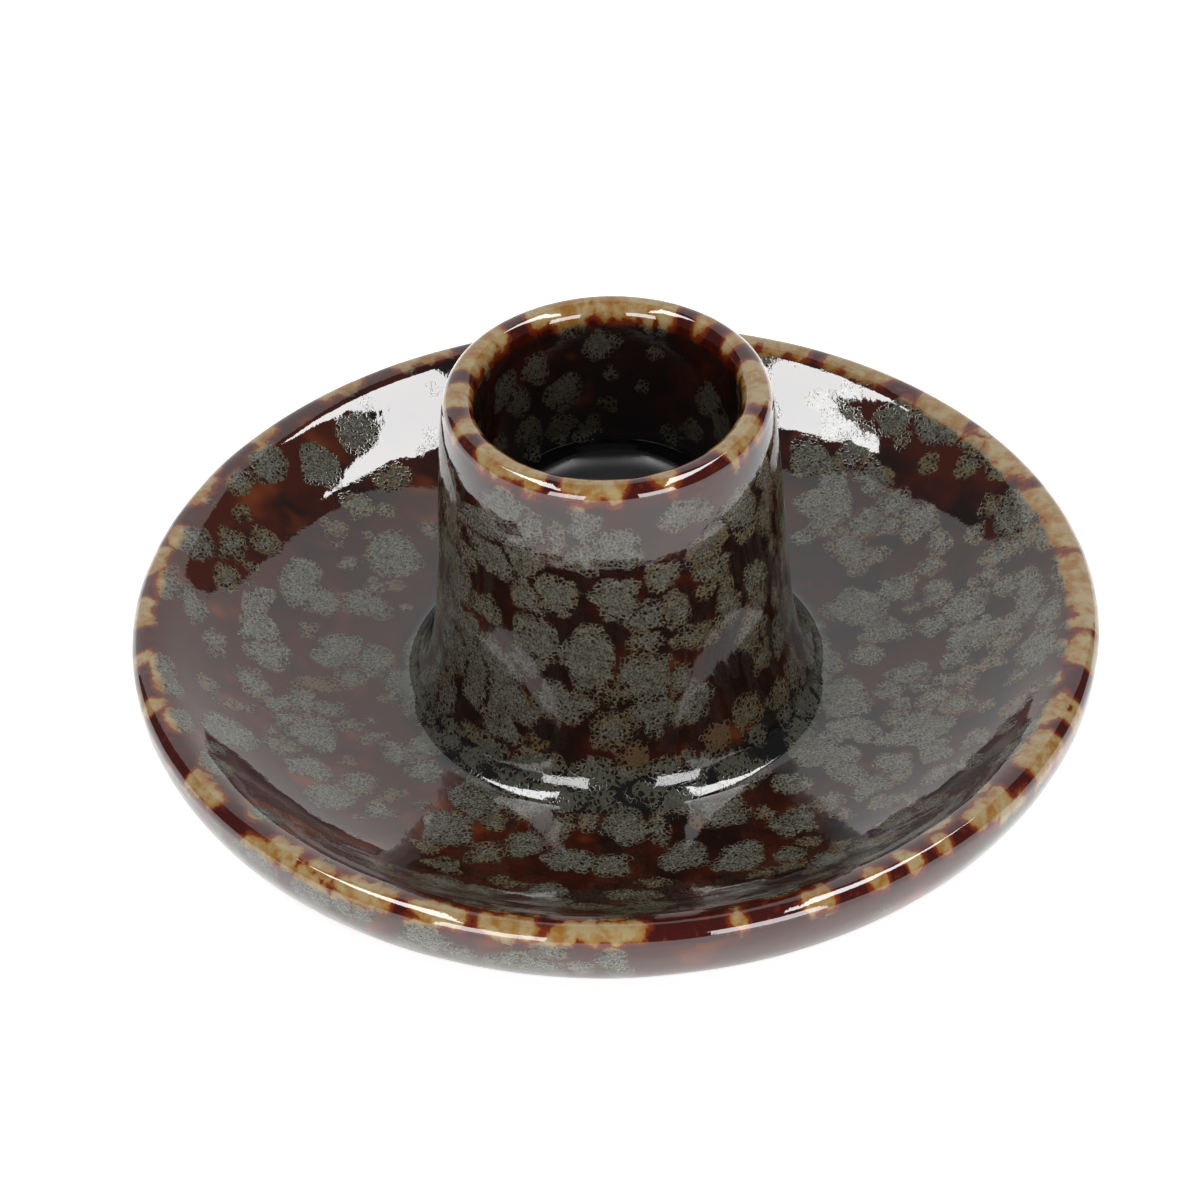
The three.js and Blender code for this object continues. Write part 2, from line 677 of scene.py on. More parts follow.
@dataclass
class Bench:
    """Where the nodes of one material are laid out. Sizes on it are in millimetres."""

    material: bpy.types.Material

    def __post_init__(self) -> None:
        """Clears the node tree and finds the place on the object."""
        self.tree = self.material.node_tree
        self.tree.nodes.clear()
        self.count = 0
        coordinates = self.node("ShaderNodeTexCoord")
        scale = self.node("ShaderNodeVectorMath", operation="SCALE")
        self.feed(scale.inputs[0], coordinates.outputs["Object"])
        scale.inputs["Scale"].default_value = 1 / MM
        self.place = scale.outputs["Vector"]

    def node(self, kind: str, **settings: object) -> bpy.types.Node:
        """Adds a node.

        Args:
            kind: The node's type.
            **settings: Properties to set on it.

        Returns:
            The node.
        """
        made = self.tree.nodes.new(kind)
        made.location = (220 * (self.count % 12), -260 * (self.count // 12))
        self.count += 1
        for name, value in settings.items():
            setattr(made, name, value)
        return made

    def feed(self, socket: bpy.types.NodeSocket, value: object) -> None:
        """Links a socket, or sets its value where a plain one is given.

        Args:
            socket: The input.
            value: Another node's output, a number, a colour or a vector.
        """
        if isinstance(value, bpy.types.NodeSocket):
            self.tree.links.new(value, socket)
        else:
            socket.default_value = value

    def sum_of(self, operation: str, *values: Feed) -> bpy.types.NodeSocket:
        """One step of arithmetic.

        Args:
            operation: A Math node's operation.
            *values: Its one, two or three inputs.

        Returns:
            The result.
        """
        made = self.node("ShaderNodeMath", operation=operation)
        for socket, value in zip(made.inputs, values):
            self.feed(socket, value)
        return made.outputs[0]

    def plus(self, *values: Feed) -> bpy.types.NodeSocket:
        """Adds up two or more values."""
        return reduce(lambda total, value: self.sum_of("ADD", total, value), values)

    def minus(self, first: Feed, second: Feed) -> bpy.types.NodeSocket:
        """The first value less the second."""
        return self.sum_of("SUBTRACT", first, second)

    def times(self, first: Feed, second: Feed) -> bpy.types.NodeSocket:
        """Multiplies two values."""
        return self.sum_of("MULTIPLY", first, second)

    def swing(self, noise: Feed, reach: float) -> bpy.types.NodeSocket:
        """Turns noise about 0.5 into noise about 0 that is reach wide."""
        return self.times(self.minus(noise, 0.5), reach)

    def vector(self, operation: str, first: object, second: object) -> bpy.types.NodeSocket:
        """One step of vector arithmetic.

        Args:
            operation: A Vector Math node's operation.
            first: Its first input.
            second: Its second input, which is a number for SCALE.

        Returns:
            The resulting vector.
        """
        made = self.node("ShaderNodeVectorMath", operation=operation)
        self.feed(made.inputs[0], first)
        self.feed(made.inputs["Scale" if operation == "SCALE" else 1], second)
        return made.outputs[0]

    def rise(self, value: Feed, low: Feed, high: Feed, start: float = 0.0,
             stop: float = 1.0) -> bpy.types.NodeSocket:
        """A soft step.

        Args:
            value: What is measured.
            low: Where the step begins.
            high: Where it ends.
            start: The result before it.
            stop: The result after it.

        Returns:
            The stepped value.
        """
        made = self.node("ShaderNodeMapRange", interpolation_type="SMOOTHSTEP")
        for socket, part in zip(made.inputs, (value, low, high, start, stop)):
            self.feed(socket, part)
        return made.outputs[0]

    def mix(self, share: Feed, first: object, second: object) -> bpy.types.NodeSocket:
        """Mixes two colours.

        Args:
            share: How much of the second there is.
            first: A colour or a socket.
            second: A colour or a socket.

        Returns:
            The mixed colour.
        """
        made = self.node("ShaderNodeMix", data_type="RGBA")
        colours = [s for s in made.inputs if s.type == "RGBA"]
        self.feed(made.inputs[0], share)
        self.feed(colours[0], first)
        self.feed(colours[1], second)
        return next(s for s in made.outputs if s.type == "RGBA")

    def noise(self, size: float, detail: float = 2.0, roughness: float = 0.5,
              shift: float = 0.0, colour: bool = False) -> bpy.types.NodeSocket:
        """Cloudy noise.

        Args:
            size: Size of its largest clouds.
            detail: How many finer levels it has.
            roughness: How strong those are.
            shift: Moves it, so that two noises of one size differ.
            colour: Whether three noises come out as a colour.

        Returns:
            The noise, about 0.5 on average.
        """
        made = self.node("ShaderNodeTexNoise")
        moved = self.vector("ADD", self.place, (shift, 1.7 * shift, -1.3 * shift))
        self.feed(made.inputs["Vector"], moved)
        made.inputs["Scale"].default_value = 1 / size
        made.inputs["Detail"].default_value = detail
        made.inputs["Roughness"].default_value = roughness
        return made.outputs["Color" if colour else 0]

    def stir(self, place: bpy.types.NodeSocket, size: float, reach: float, detail: float = 2.0,
             roughness: float = 0.5, shift: float = 0.0) -> bpy.types.NodeSocket:
        """Moves places about by cloudy noise.

        Args:
            place: The vector that is moved.
            size: Size of the largest clouds.
            reach: How far it moves, from one side to the other.
            detail: How many finer levels the noise has.
            roughness: How strong those are.
            shift: Moves the noise.

        Returns:
            The moved vector.
        """
        noise = self.noise(size, detail, roughness, shift, colour=True)
        about_zero = self.vector("SUBTRACT", noise, (0.5, 0.5, 0.5))
        return self.vector("ADD", place, self.vector("SCALE", about_zero, reach))

    def cells(self, size: float, feature: str, place: Optional[bpy.types.NodeSocket] = None,
              output: str = "Distance") -> bpy.types.NodeSocket:
        """A foam of cells.

        Args:
            size: Size of a cell.
            feature: F1, or DISTANCE_TO_EDGE for the walls between cells.
            place: Where it is looked up, the object's own place if left out.
            output: Distance or Color.

        Returns:
            The output, with distances in cell sizes.
        """
        made = self.node("ShaderNodeTexVoronoi", feature=feature)
        self.feed(made.inputs["Vector"], place or self.place)
        made.inputs["Scale"].default_value = 1 / size
        return made.outputs[output]

    def attribute(self, name: str) -> bpy.types.Node:
        """Reads one of the mesh's colour attributes.

        Args:
            name: Its name.

        Returns:
            A node whose outputs are the attribute's three parts.
        """
        read = self.node("ShaderNodeAttribute", attribute_name=name)
        parts = self.node("ShaderNodeSeparateColor")
        self.feed(parts.inputs[0], read.outputs["Color"])
        return parts

    def finish(self, colour: object, roughness: Feed, ior: float,
               height: bpy.types.NodeSocket) -> None:
        """Adds the shader.

        Args:
            colour: Base colour.
            roughness: Roughness.
            ior: Index of refraction.
            height: Fine relief in millimetres.
        """
        shader = self.node("ShaderNodeBsdfPrincipled")
        self.feed(shader.inputs["Base Color"], colour)
        self.feed(shader.inputs["Roughness"], roughness)
        shader.inputs["IOR"].default_value = ior
        bump = self.node("ShaderNodeBump")
        bump.inputs["Strength"].default_value = 1.0
        bump.inputs["Distance"].default_value = MM
        self.feed(bump.inputs["Height"], height)
        self.feed(shader.inputs["Normal"], bump.outputs[0])
        output = self.node("ShaderNodeOutputMaterial")
        self.feed(output.inputs["Surface"], shader.outputs[0])


@dataclass(frozen=True)
class SpottedGlaze:
    """Dark red-brown glaze under frothy grey-green drops that break to ochre on thin edges.

    The material reads three attributes of the mesh. Drops holds the depth inside the nearest
    drop of each coat, tones holds those drops' tones, and build holds how far the next thin band
    is, how much glaze has pooled round the socket's foot and how deep in the bore's well a point
    lies, and how warm it is. The near-black colour of the well and the darkening where warmth
    is below 0, on the socket wall and in the bore, are painted shade. Sizes are in millimetres.
    """

    name: str
    ior: float = 1.55
    gloss: float = 0.035
    dull: float = 0.9
    bubble: float = 0.43
    night: Colour = paint(17, 9, 7)
    oxblood: Colour = paint(45, 15, 7)
    rust: Colour = paint(92, 42, 16)
    froth: Colour = paint(86, 75, 54)
    shade: Colour = paint(40, 35, 28)
    mist: Colour = paint(84, 85, 76)
    honey: Colour = paint(70, 50, 29)
    pinhole: Colour = paint(17, 11, 8)
    ochre: Colour = paint(118, 104, 74)
    amber: Colour = paint(104, 70, 26)
    ember: Colour = paint(80, 27, 8)
    garnet: Colour = paint(42, 8, 5)
    # Near black where glaze pools round the socket's foot; in the bore's well it is painted shade.
    pool_and_well_shade: Colour = paint(7, 8, 9)
    # Dark drop colour where glaze pools round the socket's foot; in the bore's well it is painted
    # shade.
    moss: Colour = paint(48, 53, 44)

    def make(self) -> bpy.types.Material:
        """Builds the material.

        Returns:
            The glaze, ready for a mesh with the drops, tones and build attributes.
        """
        material = bpy.data.materials.new(self.name)
        material.use_nodes = True
        bench = Bench(material)
        build = bench.attribute("build")
        lip = self.lip_share(bench, build.outputs["Red"])
        edge, tone = self.drop_edges(bench, lip)
        # Glaze pooled round the socket's foot and the bore's well; the darkening this brings in
        # the well is painted shade.
        pool_and_well_amount = bench.plus(build.outputs["Green"], bench.swing(bench.noise(1.1), 0.9))
        pool_and_well_shade = bench.rise(pool_and_well_amount, 0.35, 0.75)
        cover = bench.rise(edge, -0.05, 0.2)
        hole = self.froth_holes(bench, edge, tone, pool_and_well_shade, lip)
        ground = self.ground(bench, edge, build, lip, pool_and_well_shade)
        drop = self.drop_colour(bench, edge, tone, lip, pool_and_well_shade)
        # Painted shade: drops on the socket wall and in the bore, where warmth is below 0, go
        # darker toward the shade colour.
        wall_and_bore_shade = bench.rise(build.outputs["Blue"], -0.35, 0.1, 0.7, 0.0)
        drop = bench.mix(bench.times(wall_and_bore_shade, bench.minus(1.0, lip)), drop, self.shade)
        drop = bench.mix(hole, drop, bench.mix(0.35, self.pinhole, ground))
        colour = bench.mix(cover, ground, drop)
        height = self.relief(bench, hole, cover)
        gloss = bench.rise(build.outputs["Green"], 1.0, 1.5, self.gloss, self.dull)
        bench.finish(colour, gloss, self.ior, height)
        return material

    def drop_edges(self, bench: Bench,
                   lip: Feed) -> tuple[bpy.types.NodeSocket, bpy.types.NodeSocket]:
        """Reads the drops from the mesh and roughens their edges.

        Args:
            bench: The material's bench.
            lip: Where glaze has run thin.

        Returns:
            How deep inside a drop the surface lies, in millimetres, and that drop's tone.
        """
        drops = bench.node("ShaderNodeAttribute", attribute_name="drops")
        wandering = bench.stir(drops.outputs["Vector"], 1.4, 0.9)
        torn = bench.stir(wandering, 0.36, 0.55, roughness=0.7, shift=3.0)
        parts = bench.node("ShaderNodeSeparateXYZ")
        bench.feed(parts.inputs[0], torn)
        one, two, three = parts.outputs
        larger = bench.sum_of("MAXIMUM", one, two)
        top = bench.sum_of("MAXIMUM", larger, three)
        second = bench.sum_of("MAXIMUM", bench.sum_of("MINIMUM", one, two),
                              bench.sum_of("MINIMUM", larger, three))
        fused = bench.rise(bench.noise(2.6, 2, 0.6, 43.0), 0.3, 0.7, -0.3, 0.5)
        seam = bench.plus(bench.minus(top, second), fused)
        spread = bench.sum_of("MULTIPLY_ADD", lip, -0.24, 0.22)
        edge = bench.sum_of("MINIMUM", bench.plus(top, spread), seam)
        tones = bench.attribute("tones")
        third_leads = bench.sum_of("GREATER_THAN", three, larger)
        second_leads = bench.sum_of("GREATER_THAN", two, one)
        tone = self.pick(bench, second_leads, tones.outputs["Red"], tones.outputs["Green"])
        tone = self.pick(bench, third_leads, tone, tones.outputs["Blue"])
        return edge, tone

    @staticmethod
    def pick(bench: Bench, share: Feed, first: Feed, second: Feed) -> bpy.types.NodeSocket:
        """The first number where share is 0, the second where it is 1."""
        return bench.plus(first, bench.times(share, bench.minus(second, first)))

    @staticmethod
    def lip_share(bench: Bench, distance: Feed) -> bpy.types.NodeSocket:
        """How far the glaze has run thin over a lip.

        Args:
            bench: The material's bench.
            distance: Millimetres past the edge of the thin band, negative inside it.

        Returns:
            1 on the lip and 0 away from it.
        """
        ragged = bench.plus(distance, bench.swing(bench.noise(1.3, 3), 1.6))
        return bench.rise(ragged, -0.35, 0.45, 1.0, 0.0)

    def froth_holes(self, bench: Bench, edge: Feed, tone: Feed, pool_and_well_shade: Feed,
                    lip: Feed) -> bpy.types.NodeSocket:
        """The holes of the froth, which are wide near a drop's edge and mere pinholes inside.

        Args:
            bench: The material's bench.
            edge: Depth inside the drop.
            tone: The drop's tone.
            pool_and_well_shade: Glaze pooled round the socket's foot, and the bore's well in
                painted shade.
            lip: Where glaze has run thin.

        Returns:
            1 in a hole and 0 on the froth.
        """
        stirred = bench.stir(bench.place, 0.6, 0.45, detail=1.0, shift=7.0)
        wall = bench.cells(self.bubble, "DISTANCE_TO_EDGE", stirred)
        draw = bench.node("ShaderNodeSeparateColor")
        bench.feed(draw.inputs[0], bench.cells(self.bubble, "F1", stirred, "Color"))
        luck = bench.swing(draw.outputs[0], 0.3)
        patchy = bench.swing(bench.noise(2.2), 0.4)
        body = bench.times(bench.minus(tone, 0.6), 0.06)
        thread = bench.plus(bench.rise(edge, 0.1, 1.3, 0.08, 0.31), luck, patchy, body,
                            bench.times(pool_and_well_shade, -0.05), bench.times(lip, 0.6))
        return bench.rise(bench.minus(wall, thread), 0.0, 0.1)

    def ground(self, bench: Bench, edge: Feed, build: bpy.types.Node, lip: Feed,
               pool_and_well_shade: Feed) -> bpy.types.NodeSocket:
        """The dark glaze between the drops.

        Args:
            bench: The material's bench.
            edge: Depth inside a drop, negative outside.
            build: The build attribute's parts.
            lip: Where glaze has run thin.
            pool_and_well_shade: Glaze pooled round the socket's foot, and the bore's well in
                painted shade.

        Returns:
            Its colour.
        """
        near_lip = bench.rise(build.outputs["Red"], 0.0, 7.0, 0.1, 0.0)
        # Warmth reddens the ground; below 0, on the socket wall and in the bore, it darkens the
        # ground as painted shade.
        warmth = bench.plus(bench.noise(5.5, 3, 0.6, 11.0), near_lip,
                            bench.times(build.outputs["Blue"], 0.3))
        colour = bench.mix(bench.rise(warmth, 0.40, 0.78), self.night, self.oxblood)
        glow = bench.plus(bench.noise(6.5, 2, 0.6, 17.0), bench.times(build.outputs["Blue"], 0.1))
        colour = bench.mix(bench.rise(glow, 0.60, 0.80, 0.0, 0.6), colour, self.rust)
        # Near black where glaze pools round the socket's foot, and as painted shade in the bore's
        # well.
        colour = bench.mix(bench.times(pool_and_well_shade, 0.92), colour, self.pool_and_well_shade)
        hot = bench.rise(bench.noise(0.9, shift=23.0), 0.55, 0.85)
        thin = bench.mix(hot, self.garnet, self.ember)
        thin = bench.mix(bench.rise(edge, -0.5, -0.05), thin, self.ember)
        return bench.mix(lip, colour, thin)

    def drop_colour(self, bench: Bench, edge: Feed, tone: Feed, lip: Feed,
                    pool_and_well_shade: Feed) -> bpy.types.NodeSocket:
        """The colour of the froth of a drop.

        Args:
            bench: The material's bench.
            edge: Depth inside the drop.
            tone: The drop's tone.
            lip: Where glaze has run thin.
            pool_and_well_shade: Glaze pooled round the socket's foot, and the bore's well in
                painted shade.

        Returns:
            Its colour.
        """
        grain = bench.rise(bench.noise(0.2, 2, 0.7, 41.0), 0.36, 0.64)
        body = bench.mix(grain, self.shade, self.mist)
        lace = bench.mix(grain, self.shade, self.froth)
        depth = bench.plus(edge, bench.swing(bench.noise(1.7, 2, 0.6, 29.0), 2.2),
                           bench.times(bench.minus(tone, 0.7), 1.6))
        inner = bench.rise(depth, 0.25, 1.0)
        colour = bench.mix(inner, lace, body)
        murk = bench.rise(bench.noise(1.1, 3, 0.7, 53.0), 0.47, 0.66, 0.0, 0.6)
        colour = bench.mix(murk, colour, self.shade)
        colour = bench.mix(bench.rise(tone, 0.05, 0.4, 0.8, 0.0), colour, self.honey)
        # Dark moss where glaze pools round the socket's foot, and as painted shade in the bore's
        # well.
        colour = bench.mix(bench.times(pool_and_well_shade, 0.6), colour, self.moss)
        streak = bench.rise(bench.noise(1.6, 3, 0.6, 31.0), 0.38, 0.68)
        thin = bench.mix(streak, self.ochre, self.amber)
        thin = bench.mix(bench.rise(edge, 0.0, 0.5, 0.9, 0.0), thin, self.amber)
        return bench.mix(lip, colour, thin)

    @staticmethod
    def relief(bench: Bench, hole: Feed, cover: Feed) -> bpy.types.NodeSocket:
        """The fine relief of the glaze: dimples over the froth and a slight orange peel.

        Args:
            bench: The material's bench.
            hole: Where the holes are.
            cover: Where the drops are.

        Returns:
            Heights in millimetres.
        """
        dimples = bench.times(bench.times(hole, cover), -0.003)
        return bench.plus(dimples, bench.times(bench.noise(1.2, 3, shift=37.0), 0.012))


@dataclass(frozen=True)
class BareClay:
    """Buff fired stoneware, sanded where it stands and stained by glaze where that ends."""

    name: str
    glaze_line: float
    ior: float = 1.45
    buff: Colour = paint(186, 164, 132)
    toast: Colour = paint(150, 118, 84)
    iron: Colour = paint(74, 52, 38)
    glaze: Colour = paint(52, 24, 16)

    def make(self) -> bpy.types.Material:
        """Builds the material.

        Returns:
            The clay.
        """
        material = bpy.data.materials.new(self.name)
        material.use_nodes = True
        bench = Bench(material)
        clouds = bench.rise(bench.noise(4.0, 4, 0.6), 0.35, 0.7)
        colour = bench.mix(clouds, self.buff, self.toast)
        speck = bench.rise(bench.cells(0.9, "F1"), 0.12, 0.2, 1.0, 0.0)
        colour = bench.mix(bench.times(speck, 0.75), colour, self.iron)
        parts = bench.node("ShaderNodeSeparateXYZ")
        bench.feed(parts.inputs[0], bench.place)
        above = bench.plus(parts.outputs[2], bench.swing(bench.noise(2.2, 3), 0.9))
        glazed = bench.rise(above, self.glaze_line, self.glaze_line + 0.12)
        colour = bench.mix(glazed, colour, self.glaze)
        roughness = bench.rise(glazed, 0.0, 1.0, 0.82, 0.12)
        grain = bench.times(bench.noise(0.25, 3, 0.7), 0.04)
        grain = bench.times(grain, bench.rise(glazed, 0.0, 1.0, 1.0, 0.1))
        bench.finish(colour, roughness, self.ior, grain)
        return material


# ---------------------------------------------------------------------------------- the drops

# Drops in the dish: right, back, size across, size deep, tone.
DISH_DROPS = (
    (-20.4, 17.4, 5.6, 5.6, 0.75), (-29.0, 12.8, 4.4, 5.4, 0.9), (-26.8, 10.6, 3.4, 3.6, 0.85),
    (-23.9, 11.0, 3.0, 3.0, 0.7), (-22.0, 10.0, 3.2, 2.8, 0.55), (-33.0, 8.6, 2.6, 4.6, 0.9),
    (-32.7, 5.4, 3.8, 4.4, 1.0), (-31.8, 2.6, 4.6, 4.2, 0.95), (-25.3, 4.0, 4.8, 5.2, 1.0),
    (-22.4, 3.0, 3.4, 4.2, 0.95), (-24.4, 0.2, 3.2, 2.4, 0.6), (-27.5, -1.0, 4.0, 2.4, 0.1),
    (-28.2, 6.6, 1.6, 2.0, 0.3), (-33.0, -2.4, 3.0, 4.6, 0.6), (-30.8, -4.8, 3.6, 2.6, 0.7),
    (-28.6, -3.4, 2.6, 4.0, 0.7), (-26.3, -4.4, 3.4, 2.2, 0.65), (-27.7, -8.3, 4.6, 4.8, 0.95),
    (-30.0, -6.2, 3.0, 2.2, 0.7), (-34.4, -6.3, 3.6, 1.3, 0.3), (-35.2, -11.2, 5.8, 4.8, 0.9),
    (-31.2, -11.0, 1.0, 3.0, 0.3), (-29.7, -11.0, 2.2, 3.2, 0.4), (-28.2, -13.4, 3.8, 4.4, 0.75),
    (-26.0, -17.8, 5.2, 4.0, 0.95), (-23.6, -15.2, 4.2, 2.6, 0.55), (-21.8, -19.2, 2.4, 2.8, 0.7),
    (-19.8, -10.6, 2.8, 4.0, 0.65), (-17.6, -13.1, 3.2, 3.0, 0.9), (-20.8, -16.7, 3.0, 1.5, 0.15),
    (-25.8, 20.0, 2.0, 2.8, 0.35), (-23.6, 23.3, 2.8, 3.2, 0.5), (-20.4, 26.9, 3.8, 2.8, 0.4),
    (-32.2, 16.6, 3.2, 2.4, 0.4), (-34.2, 18.6, 1.6, 2.2, 0.5), (-35.2, 14.8, 2.8, 3.8, 0.45),
    (-35.6, 10.6, 2.4, 3.4, 0.5), (-38.8, 13.2, 3.6, 4.8, 0.85), (-38.5, 5.4, 2.8, 4.0, 0.7),
    (-40.8, 7.0, 2.0, 4.6, 0.8), (-36.6, 1.8, 2.0, 4.0, 0.6), (-40.8, -6.2, 2.8, 6.0, 0.8),
    (-37.0, -4.8, 1.8, 3.2, 0.3), (-31.8, 24.6, 4.6, 2.8, 0.8), (-27.0, 26.3, 5.2, 3.0, 0.9),
    (-23.6, 30.4, 3.0, 5.0, 0.9), (-34.4, 21.8, 2.8, 2.6, 0.6), (-39.4, -12.6, 2.6, 4.0, 0.7),
    (-36.0, -18.6, 3.2, 4.0, 0.7), (-31.6, -25.6, 3.0, 3.4, 0.7), (-24.4, -6.6, 2.4, 1.8, 0.4),
    (-12.9, -17.0, 5.4, 5.4, 1.0), (-15.6, -21.6, 5.2, 5.0, 1.0), (-17.4, -24.6, 3.0, 1.6, 0.4),
    (-16.0, -27.8, 3.6, 2.4, 0.7), (-12.4, -25.4, 2.2, 4.4, 0.5), (-11.6, -20.4, 3.0, 1.8, 0.6),
    (-9.0, -18.8, 3.8, 2.2, 0.7), (-8.8, -24.0, 3.8, 3.6, 0.85), (-4.6, -26.6, 5.0, 3.8, 1.0),
    (-5.4, -21.6, 1.8, 3.8, 0.55), (0.2, -21.8, 4.4, 5.0, 1.0), (-2.8, -20.8, 2.0, 3.2, 0.7),
    (-1.2, -27.6, 4.0, 3.8, 0.85), (5.4, -26.6, 4.2, 4.6, 1.0), (3.2, -22.4, 2.2, 3.6, 0.8),
    (9.0, -20.3, 4.4, 4.6, 0.95), (10.3, -27.4, 5.0, 4.6, 0.95), (6.9, -21.4, 1.8, 2.2, 0.1),
    (15.3, -22.4, 3.4, 4.8, 0.85), (14.9, -27.8, 2.8, 3.6, 0.7), (19.2, -28.0, 2.4, 2.8, 0.6),
    (12.0, -30.8, 3.0, 1.6, 0.5), (-10.6, -30.4, 3.2, 1.6, 0.4), (2.6, -30.6, 3.2, 1.6, 0.5),
    (20.4, -5.2, 4.8, 6.4, 1.0), (21.0, -9.6, 4.8, 4.4, 1.0), (18.4, -12.6, 5.0, 4.6, 1.0),
    (20.4, -15.6, 4.0, 3.4, 0.9), (27.4, -10.6, 5.6, 5.4, 0.95), (28.4, -14.4, 3.6, 3.4, 0.85),
    (26.7, -2.4, 4.0, 3.0, 0.8), (32.2, 5.0, 4.2, 4.6, 0.95), (32.6, 1.4, 4.6, 4.6, 0.95),
    (29.2, 4.0, 2.6, 2.8, 0.9), (22.4, 7.8, 5.4, 5.4, 1.0), (26.2, 9.8, 3.8, 3.4, 0.9),
    (28.6, 17.6, 4.4, 3.6, 0.8), (26.4, 20.6, 3.4, 3.2, 0.7), (30.4, 14.4, 2.4, 3.0, 0.7),
    (21.9, 16.2, 1.6, 6.0, 0.5), (24.4, 14.6, 3.2, 1.4, 0.5), (20.3, 22.6, 5.6, 5.0, 1.0),
    (24.8, 23.8, 4.2, 3.0, 0.85), (18.9, 27.6, 4.6, 3.6, 0.9), (38.0, 3.6, 3.4, 6.0, 0.9),
    (41.0, 4.0, 2.0, 5.0, 0.7), (37.4, 14.0, 4.4, 5.4, 0.95), (35.4, 15.8, 2.2, 3.2, 0.5),
    (38.1, -4.6, 4.4, 5.2, 0.9), (36.4, -7.2, 2.4, 1.6, 0.5), (31.8, -4.6, 2.8, 3.4, 0.4),
    (35.6, -11.8, 2.4, 3.6, 0.2), (33.1, -9.6, 2.0, 1.8, 0.6), (39.2, -15.4, 2.4, 4.6, 0.6),
    (22.4, -18.4, 3.4, 3.0, 0.85), (24.6, -15.2, 3.2, 3.4, 0.9), (23.2, -21.2, 2.8, 2.2, 0.7),
    (32.0, -14.6, 3.0, 2.6, 0.6), (28.4, -18.6, 3.2, 2.6, 0.5), (31.4, 27.0, 6.0, 4.6, 0.95),
    (27.0, 29.0, 4.2, 3.2, 0.9), (21.9, 30.4, 4.4, 3.2, 0.9), (34.4, 23.6, 3.4, 2.4, 0.7),
    (36.0, 19.2, 1.8, 2.0, 0.4), (39.6, 9.6, 2.2, 3.4, 0.5), (34.8, -20.4, 3.4, 3.0, 0.6),
)

# Drops on the outside of the socket: azimuth, height, width, height of the drop, tone.
WALL_DROPS = (
    (-39, 34.2, 4.6, 4.2, 0.95), (-29, 33.2, 3.4, 4.0, 0.95), (-10, 34.4, 3.0, 3.8, 0.9),
    (-10, 30.8, 3.6, 3.2, 0.8), (-20, 32.6, 2.4, 3.4, 0.8), (1, 32.0, 4.4, 4.6, 0.95),
    (24, 34.4, 4.0, 2.8, 0.9), (32, 34.0, 2.2, 1.8, 0.6), (48, 31.8, 5.0, 4.2, 0.95),
    (34, 30.2, 4.8, 4.0, 0.35), (-48, 31.2, 5.0, 4.2, 1.0), (-45, 28.6, 5.8, 4.2, 1.0),
    (-32, 29.6, 4.0, 4.4, 0.9), (-21, 26.6, 4.6, 4.6, 0.7), (-29, 25.8, 3.6, 4.2, 0.8),
    (0, 26.8, 4.4, 4.0, 1.0), (10, 24.2, 3.6, 3.2, 0.95), (10, 21.8, 3.4, 2.6, 0.75),
    (16, 28.2, 3.0, 3.4, 0.7), (20, 24.2, 2.6, 4.6, 0.6), (25, 21.2, 3.6, 2.2, 0.5),
    (40, 22.8, 3.0, 4.8, 0.6), (33, 20.4, 3.0, 1.8, 0.4), (35, 27.4, 3.8, 2.6, 0.7),
    (31, 25.4, 2.2, 1.6, 0.5), (50, 29.2, 2.8, 2.2, 0.5), (-61, 22.4, 4.6, 5.0, 0.95),
    (-58, 18.4, 4.4, 4.6, 0.95), (-48, 22.2, 4.0, 3.2, 0.8), (-27, 21.4, 4.8, 4.6, 0.95),
    (-31, 18.4, 3.6, 3.4, 0.9), (-9, 20.0, 5.6, 6.2, 0.95), (9, 17.8, 4.8, 5.2, 0.95),
    (-1, 16.4, 2.2, 2.8, 0.4), (-20, 14.6, 4.6, 4.2, 0.9), (-11, 15.2, 2.6, 2.8, 0.8),
    (11, 13.6, 4.0, 3.8, 0.9), (24, 13.8, 4.0, 4.8, 0.75), (20, 16.6, 2.4, 3.8, 0.6),
    (-2, 12.2, 4.4, 3.8, 0.35), (-42, 16.6, 5.4, 5.6, 1.0), (-38, 13.6, 5.6, 4.8, 1.0),
    (-50, 15.0, 4.4, 5.0, 0.95), (-40, 10.6, 4.6, 3.8, 0.95), (-52, 12.0, 3.4, 3.2, 0.9),
    (-68, 19.0, 2.8, 4.6, 0.8), (-26, 9.4, 2.0, 2.6, 0.15), (4, 9.4, 3.0, 2.6, 0.15),
    (31, 9.4, 3.0, 2.8, 0.15), (44, 10.2, 3.8, 3.6, 0.3), (60, 9.2, 3.8, 2.8, 0.3),
    (48, 17.9, 2.8, 3.8, 0.45), (54, 14.4, 2.8, 3.0, 0.4), (-57, 26.4, 2.6, 2.6, 0.8),
)

# Drops in the bore: azimuth, height, size, tone. The tones are kept low, which darkens the drops
# as part of the bore's painted shade.
BORE_DROPS = (
    (-178, 34.0, 3.0, 0.8), (-160, 29.4, 3.6, 0.6), (-147, 33.0, 3.0, 0.5),
    (-136, 30.4, 3.0, 0.7), (-128, 32.6, 3.2, 0.8), (-140, 26.8, 2.8, 0.4),
    (-158, 25.6, 3.0, 0.5), (-120, 27.4, 2.4, 0.4), (158, 33.6, 1.4, 0.4),
    (178, 30.8, 1.2, 0.3), (180, 27.6, 1.6, 0.1), (164, 29.6, 1.2, 0.2),
    (128, 30.8, 3.4, 0.5), (116, 29.0, 3.8, 0.5), (138, 26.4, 2.4, 0.4),
    (-142, 21.8, 2.4, 0.5), (-170, 20.4, 2.6, 0.5), (150, 24.0, 1.8, 0.3),
)

